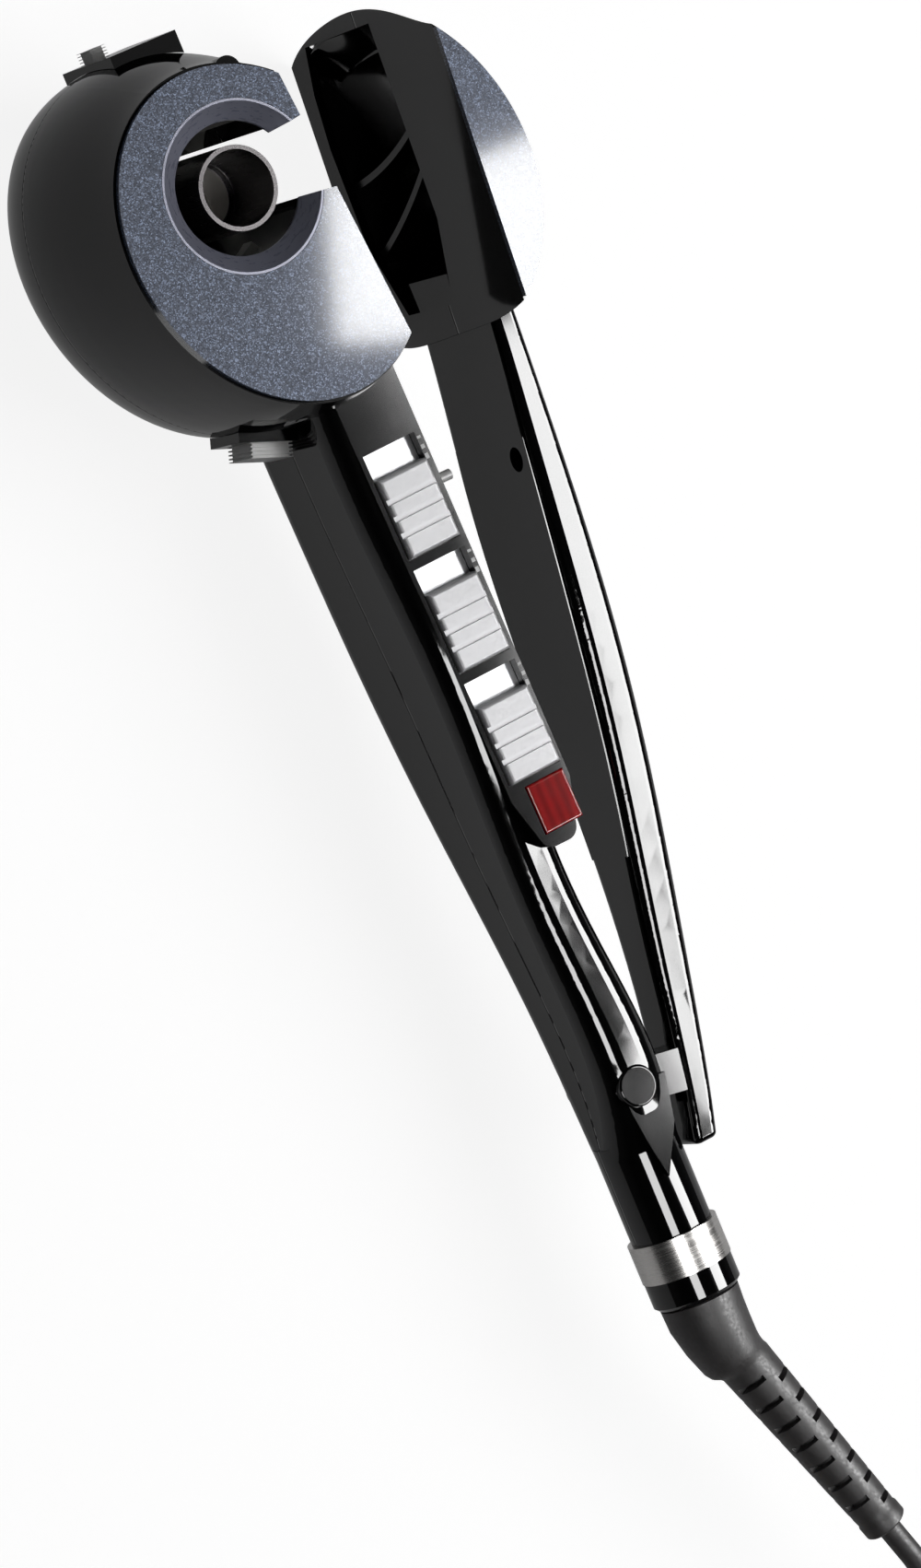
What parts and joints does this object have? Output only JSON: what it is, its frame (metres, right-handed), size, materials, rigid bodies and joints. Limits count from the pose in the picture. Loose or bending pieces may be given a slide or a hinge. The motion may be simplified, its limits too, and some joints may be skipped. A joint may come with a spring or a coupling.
{
  "type": "automatic hair curler",
  "caption": "Handheld curler: a drum-shaped head whose hinged jaw shuts over a heated barrel with a motor-driven hair rotor, slide switches along the handle and a swivel cord.",
  "frame": {"origin": "on the flat back of the head, where the axis of the curling barrel meets it", "axes": "+X the way the jaw opens, +Y from the cord end to the head, +Z along the barrel from the back to the face plate"},
  "size_m": [0.1043, 0.5212, 0.068],
  "materials": {
    "housing_black": "gloss",
    "matt_black": "matt",
    "face_slate": "metallic flake, gloss",
    "satin_silver": "satin",
    "barrel_metal": "satin",
    "switch_silver": "satin",
    "lens_red": "clear gloss",
    "steel": "brushed",
    "dark_steel": "satin",
    "pale_pad": "ridged, satin",
    "rubber_grey": "matt",
    "brass": "plain",
    "white_ceramic": "matt",
    "board_green": "matt",
    "gear_white": "matt"
  },
  "bodies": {
    "main": {"head_front_shell": "housing_black", "head_rear_shell": "housing_black", "main_face_plate": "face_slate", "bevel_ring": "satin_silver", "chamber_liner": "matt_black", "barrel_base": "white_ceramic", "barrel_tube": "barrel_metal", "heater_core": "white_ceramic", "heater_band": "dark_steel", "thermal_fuse": "steel", "motor": "dark_steel", "motor_bracket": "dark_steel", "tip_strip": "housing_black", "tip_pad": "pale_pad", "heel_strip": "housing_black", "heel_pad": "pale_pad", "handle_front_shell": "housing_black", "handle_rear_shell": "housing_black", "switch_panel": "housing_black", "switch_labels": "switch_silver", "switch_bodies": "matt_black", "circuit_board": "board_green", "buzzer": "matt_black", "indicator_lens": "lens_red", "indicator_lamp": "lens_red", "contact_pin": "pale_pad", "terminal_block": "gear_white", "hinge_pin": "steel", "hinge_cap_front": "housing_black", "hinge_cap_rear": "housing_black", "torsion_spring": "steel", "shell_screws": "steel", "collar_ring": "steel", "end_cap": "housing_black"},
    "lever": {"jaw_front_shell": "housing_black", "jaw_rear_shell": "housing_black", "jaw_face_plate": "face_slate", "jaw_liner": "matt_black", "jaw_screws": "steel", "lever_shell": "housing_black", "lever_cover": "housing_black"},
    "rotor_body": {"rotor": "gear_white"},
    "pinion_body": {"pinion": "gear_white", "motor_shaft": "steel"},
    "heat_cap": {"heat_switch": "switch_silver"},
    "time_cap": {"time_switch": "switch_silver"},
    "direction_cap": {"direction_switch": "switch_silver"},
    "cord_set": {"swivel_sleeve": "brass", "strain_relief": "rubber_grey", "cord": "rubber_grey", "cord_coil": "rubber_grey", "plug_body": "rubber_grey", "plug_pins": "brass"}
  },
  "joints": [
    {"name": "jaw_hinge", "type": "hinge", "parent": "main", "child": "lever", "pos_m": [0.0155, -0.205, 0.034], "axis": [0, 0, 1], "range_deg": [0, 9.45], "stiffness_Nm_per_rad": 0.4, "springref_deg": -17.19},
    {"name": "heat_slide", "type": "slide", "parent": "main", "child": "heat_cap", "axis": [-0.0297, 0.9996, 0], "range_m": [0, 0.0045]},
    {"name": "time_slide", "type": "slide", "parent": "main", "child": "time_cap", "axis": [-0.0297, 0.9996, 0], "range_m": [0, 0.0045]},
    {"name": "direction_slide", "type": "slide", "parent": "main", "child": "direction_cap", "axis": [-0.0297, 0.9996, 0], "range_m": [0, 0.0045]},
    {"name": "rotor_spin", "type": "hinge", "parent": "main", "child": "rotor_body", "pos_m": [0, 0, 0.01], "axis": [0, 0, 1], "continuous": true},
    {"name": "pinion_spin", "type": "hinge", "parent": "main", "child": "pinion_body", "pos_m": [0.00201, -0.02743, 0.01], "axis": [0, 0, 1], "continuous": true},
    {"name": "cord_swivel", "type": "hinge", "parent": "main", "child": "cord_set", "pos_m": [0.0159, -0.25, 0.034], "axis": [0, 1, 0], "continuous": true}
  ],
  "couplings": [
    {"joint": "pinion_spin", "follows": "rotor_spin", "ratio": -1.5}
  ]
}
